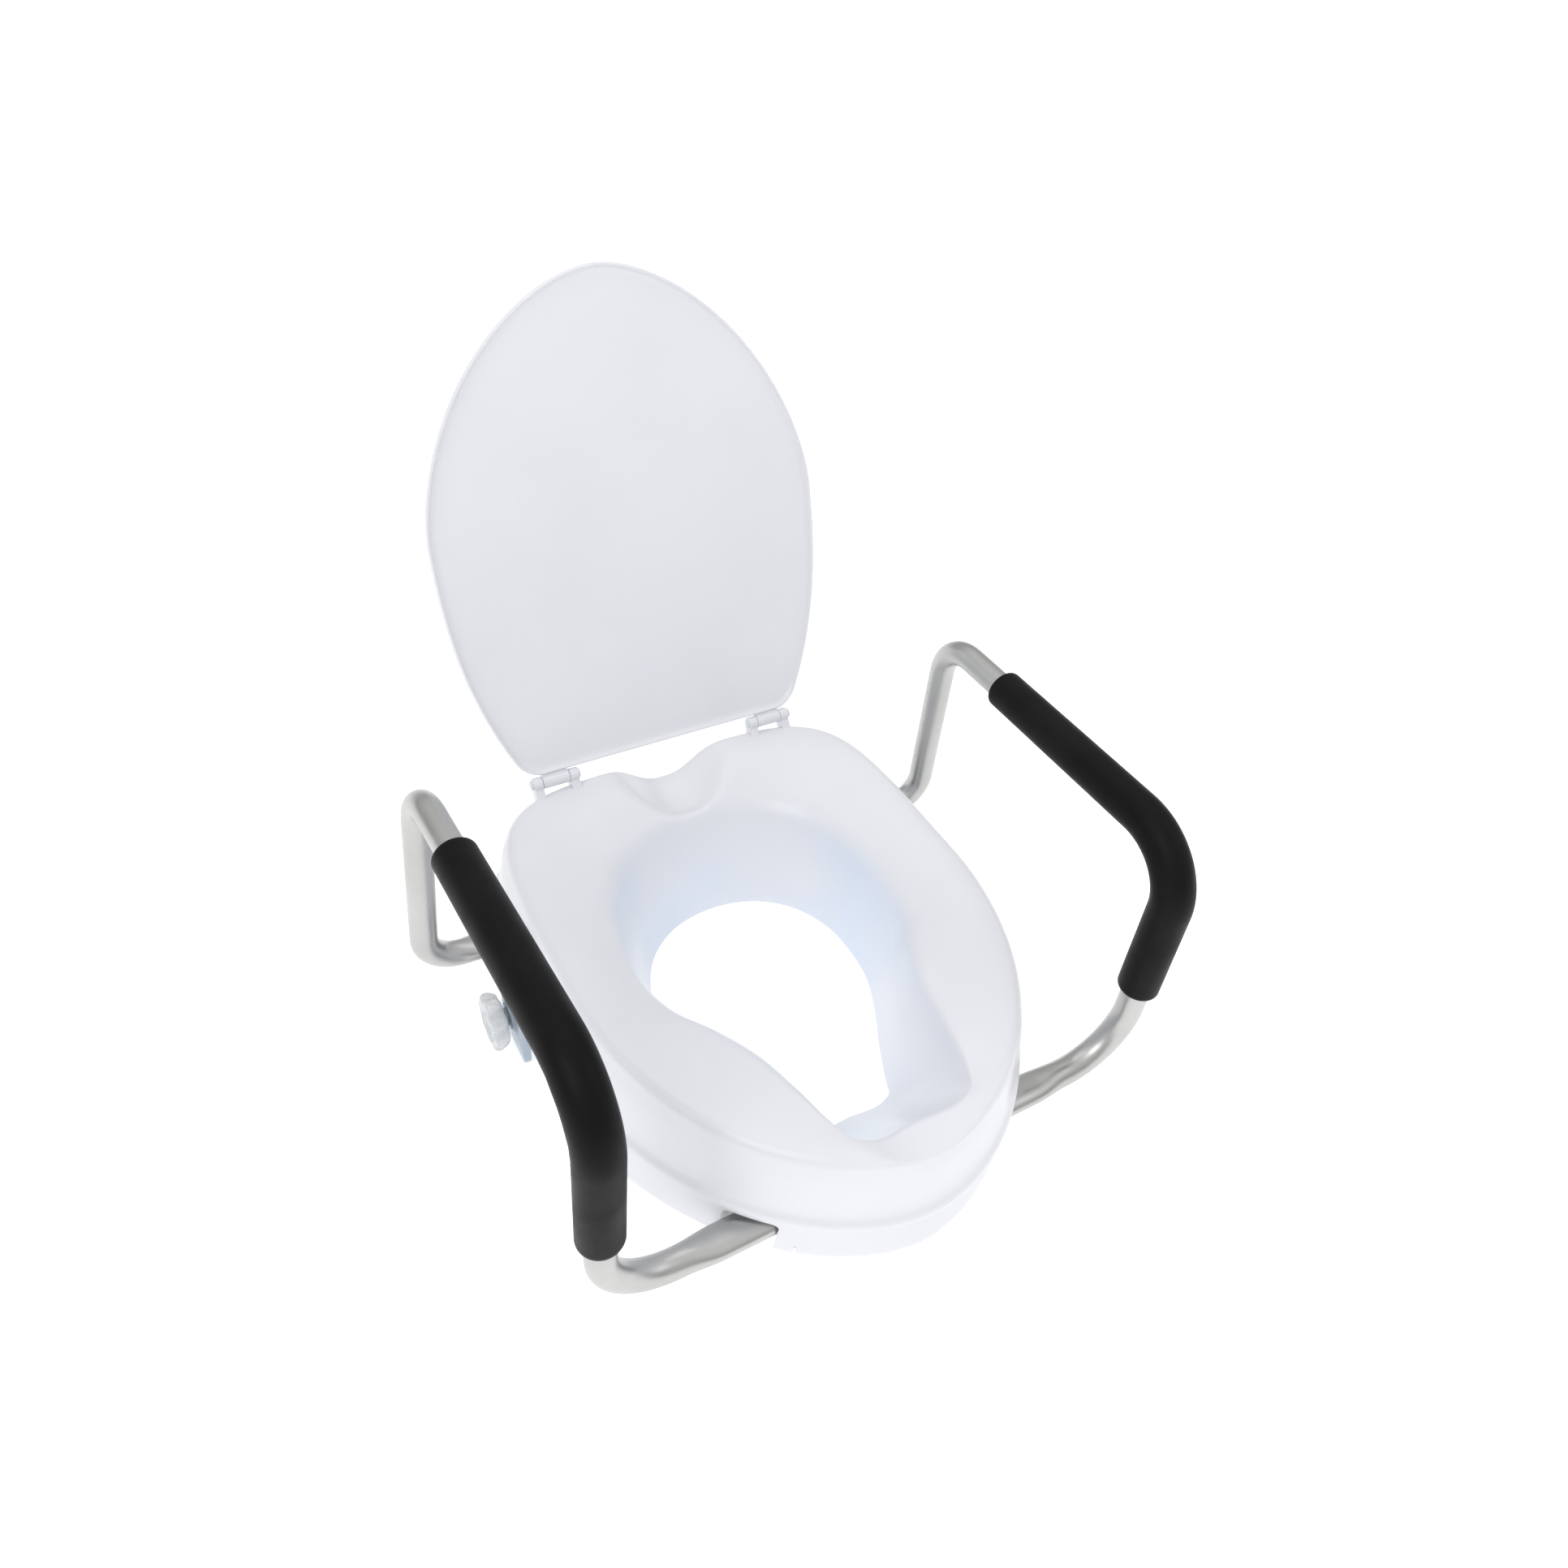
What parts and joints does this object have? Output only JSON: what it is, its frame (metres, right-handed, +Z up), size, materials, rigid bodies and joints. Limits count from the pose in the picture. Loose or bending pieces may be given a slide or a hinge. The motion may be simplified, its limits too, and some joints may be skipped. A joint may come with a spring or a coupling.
{
  "type": "raised toilet seat",
  "caption": "Raised toilet seat, a hollow white moulding with a keyhole opening, hinged lid, bent tube arms with black grips and screw clamps for the bowl.",
  "frame": {"origin": "middle of the plane where the seat rests on the bowl's rim", "axes": "+X to the sitter's left, -Y to the front of the seat, +Z up"},
  "size_m": [0.5166, 0.604, 0.568],
  "materials": {
    "white_plastic": "gloss",
    "white_nylon": "satin",
    "steel": "satin",
    "aluminium_tube": "satin",
    "black_grip": "matte",
    "black_plastic": "matte",
    "grey_rubber": "matte",
    "milky_plastic": "satin",
    "clamp_plastic": "satin"
  },
  "bodies": {
    "seat": {"bracket_bolt_left": "steel", "bracket_bolt_right": "steel", "hinge_pin_left": "steel", "hinge_pin_right": "steel", "pin_cap_left": "white_nylon", "pin_cap_right": "white_nylon", "rest_pad_front_left": "grey_rubber", "rest_pad_front_right": "grey_rubber", "rest_pad_rear_left": "grey_rubber", "rest_pad_rear_right": "grey_rubber", "rest_pad_side_left": "grey_rubber", "rest_pad_side_right": "grey_rubber", "seat_body": "white_plastic", "strap_screws": "steel", "tube_strap_front_left": "white_nylon", "tube_strap_front_right": "white_nylon", "tube_strap_rear_left": "white_nylon", "tube_strap_rear_right": "white_nylon"},
    "lid": {"lid": "white_plastic"},
    "arm_left": {"arm_grip_left": "black_grip", "arm_tube_left": "aluminium_tube", "tube_plug_front_left": "black_plastic", "tube_plug_rear_left": "black_plastic"},
    "arm_right": {"arm_grip_right": "black_grip", "arm_tube_right": "aluminium_tube", "tube_plug_front_right": "black_plastic", "tube_plug_rear_right": "black_plastic"},
    "bracket_left": {"clamp_bracket_left": "clamp_plastic"},
    "bracket_right": {"clamp_bracket_right": "clamp_plastic"},
    "pad_left": {"clamp_pad_left": "grey_rubber", "pad_foot_left": "clamp_plastic"},
    "pad_right": {"clamp_pad_right": "grey_rubber", "pad_foot_right": "clamp_plastic"},
    "screw_left": {"clamp_knob_left": "milky_plastic", "clamp_screw_left": "clamp_plastic"},
    "screw_right": {"clamp_knob_right": "milky_plastic", "clamp_screw_right": "clamp_plastic"}
  },
  "joints": [
    {"name": "lid_hinge", "type": "hinge", "parent": "seat", "child": "lid", "pos_m": [0, 0.23, 0.12], "axis": [1, 0, 0], "range_deg": [0, 110]},
    {"name": "arm_left_slide", "type": "slide", "parent": "seat", "child": "arm_left", "axis": [1, 0, 0], "range_m": [0, 0.16]},
    {"name": "arm_right_slide", "type": "slide", "parent": "seat", "child": "arm_right", "axis": [-1, 0, 0], "range_m": [0, 0.16]},
    {"name": "bracket_left_slide", "type": "slide", "parent": "seat", "child": "bracket_left", "axis": [1, 0, 0], "range_m": [-0.006, 0.006]},
    {"name": "bracket_right_slide", "type": "slide", "parent": "seat", "child": "bracket_right", "axis": [-1, 0, 0], "range_m": [-0.006, 0.006]},
    {"name": "pad_left_slide", "type": "slide", "parent": "bracket_left", "child": "pad_left", "axis": [-1, 0, 0], "range_m": [-0.01005, 0.00355]},
    {"name": "screw_left_turn", "type": "hinge", "parent": "pad_left", "child": "screw_left", "pos_m": [0.2, 0.106, -0.011], "axis": [-1, 0, 0], "range_deg": [-900, 315]},
    {"name": "pad_right_slide", "type": "slide", "parent": "bracket_right", "child": "pad_right", "axis": [1, 0, 0], "range_m": [-0.01005, 0.00355]},
    {"name": "screw_right_turn", "type": "hinge", "parent": "pad_right", "child": "screw_right", "pos_m": [-0.2, 0.106, -0.011], "axis": [1, 0, 0], "range_deg": [-900, 315]}
  ],
  "couplings": [
    {"joint": "pad_left_slide", "follows": "screw_left_turn", "m_per_rad": 0.00063662},
    {"joint": "pad_right_slide", "follows": "screw_right_turn", "m_per_rad": 0.00063662}
  ]
}
